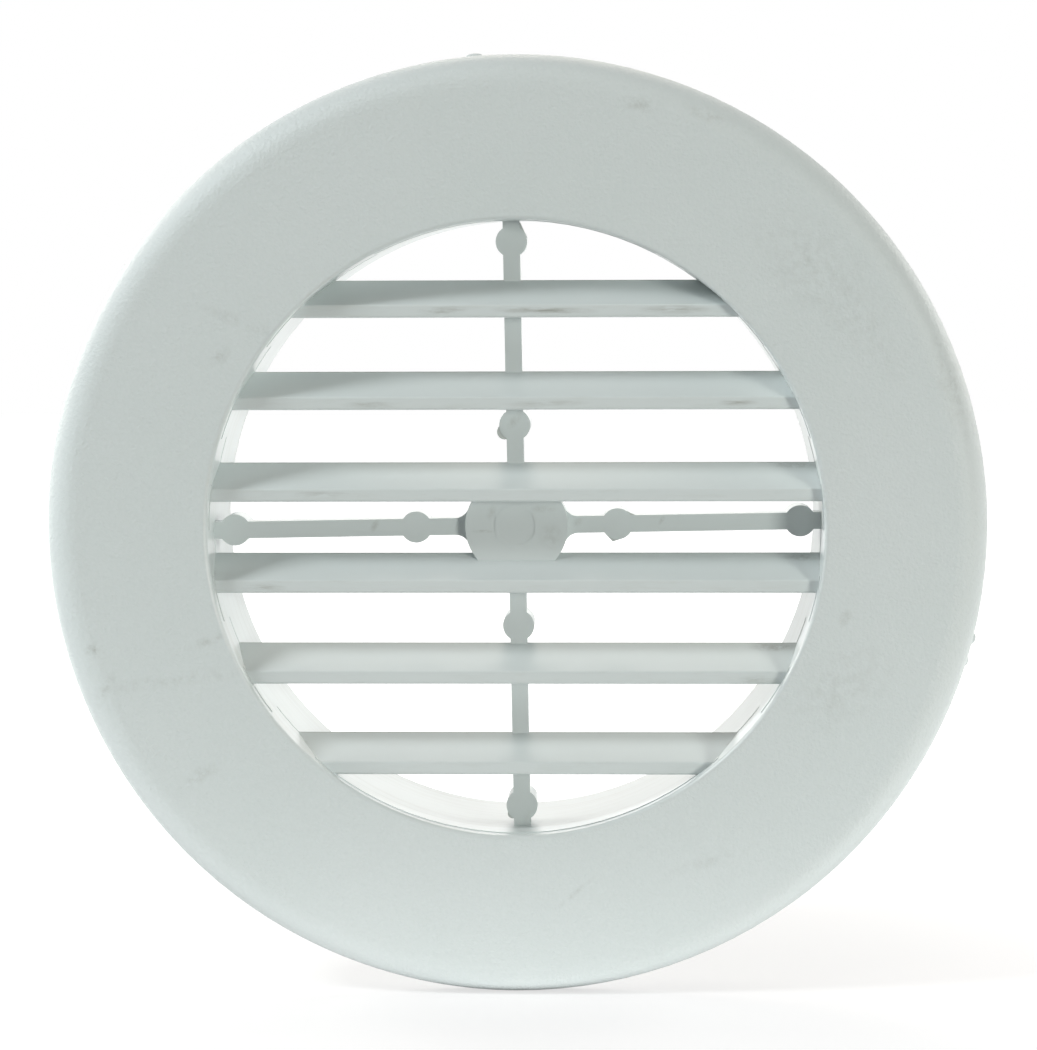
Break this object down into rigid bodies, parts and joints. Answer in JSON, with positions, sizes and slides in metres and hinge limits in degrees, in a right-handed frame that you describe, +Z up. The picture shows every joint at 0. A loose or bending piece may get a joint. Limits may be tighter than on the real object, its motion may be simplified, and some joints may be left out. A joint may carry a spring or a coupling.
{
  "type": "round vent cover",
  "caption": "Round louvred vent cover moulded in one piece: a wide flange with a rolled rim, a collar for the duct behind it, and fixed sloping slats on a cross of ribs.",
  "frame": {"origin": "on the axis of the collar, in the plane where the rim of the flange seats on the wall", "axes": "+Y along the collar into the duct, so the flange faces -Y; +X to the right seen from the front; +Z up, across the slats"},
  "size_m": [0.149, 0.032, 0.149],
  "materials": {
    "moulded_plastic": "fine eggshell grain on the flange"
  },
  "bodies": {
    "root": {"vent_cover": "moulded_plastic"}
  },
  "joints": []
}
